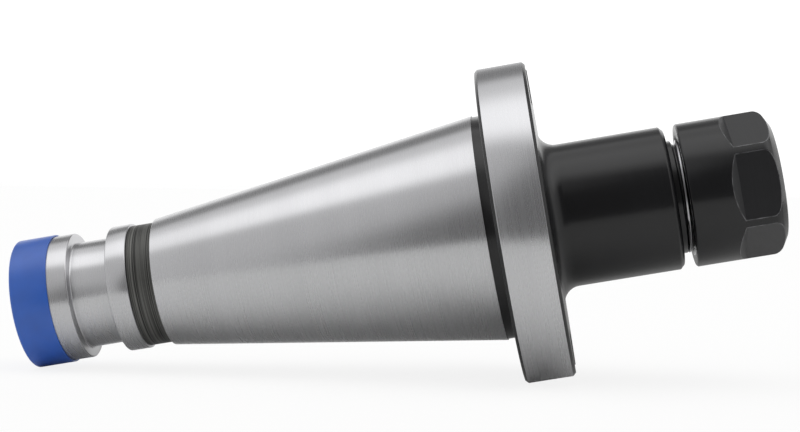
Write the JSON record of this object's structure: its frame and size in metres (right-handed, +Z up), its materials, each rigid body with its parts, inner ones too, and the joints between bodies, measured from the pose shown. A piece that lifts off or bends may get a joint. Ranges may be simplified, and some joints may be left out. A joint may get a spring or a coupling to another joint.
{
  "type": "collet chuck holder",
  "caption": "Steep-taper tool holder: tapered shank with drawbar tail, slotted drive flange, round nose, spring collet, hexagonal clamping nut and push-on tail cap.",
  "frame": {"origin": "centre of the gauge plane, on the spindle axis", "axes": "+X towards the nose as the holder lies on the floor, +Z up; the spindle axis leans up by 10.38 degrees towards +X in the XZ plane, and the drive slots lie above and below it"},
  "size_m": [0.1518, 0.063, 0.0615],
  "materials": {
    "ground_steel": "ground bright on taper, tail and flange rim, black oxide on nose and groove",
    "collet_steel": "fine ground",
    "black_nut_steel": "black oxide, satin",
    "blue_cap_plastic": "satin moulded"
  },
  "bodies": {
    "holder": {"holder_body": "ground_steel"},
    "collet": {"collet": "collet_steel"},
    "nut": {"clamping_nut": "black_nut_steel"},
    "cap": {"end_cap": "blue_cap_plastic"}
  },
  "joints": [
    {"name": "collet_slide", "type": "slide", "parent": "holder", "child": "collet", "axis": [0.9836, 0, 0.1801], "range_m": [0, 0.0105]},
    {"name": "nut_turn", "type": "hinge", "parent": "collet", "child": "nut", "pos_m": [0.04648, 0, 0.00851], "axis": [0.9836, 0, 0.1801], "range_deg": [0, 2520]},
    {"name": "cap_pull", "type": "slide", "parent": "holder", "child": "cap", "axis": [-0.9836, 0, -0.1801], "range_m": [0, 0.045]}
  ],
  "couplings": [
    {"joint": "collet_slide", "follows": "nut_turn", "m_per_rad": 0.00023873}
  ]
}
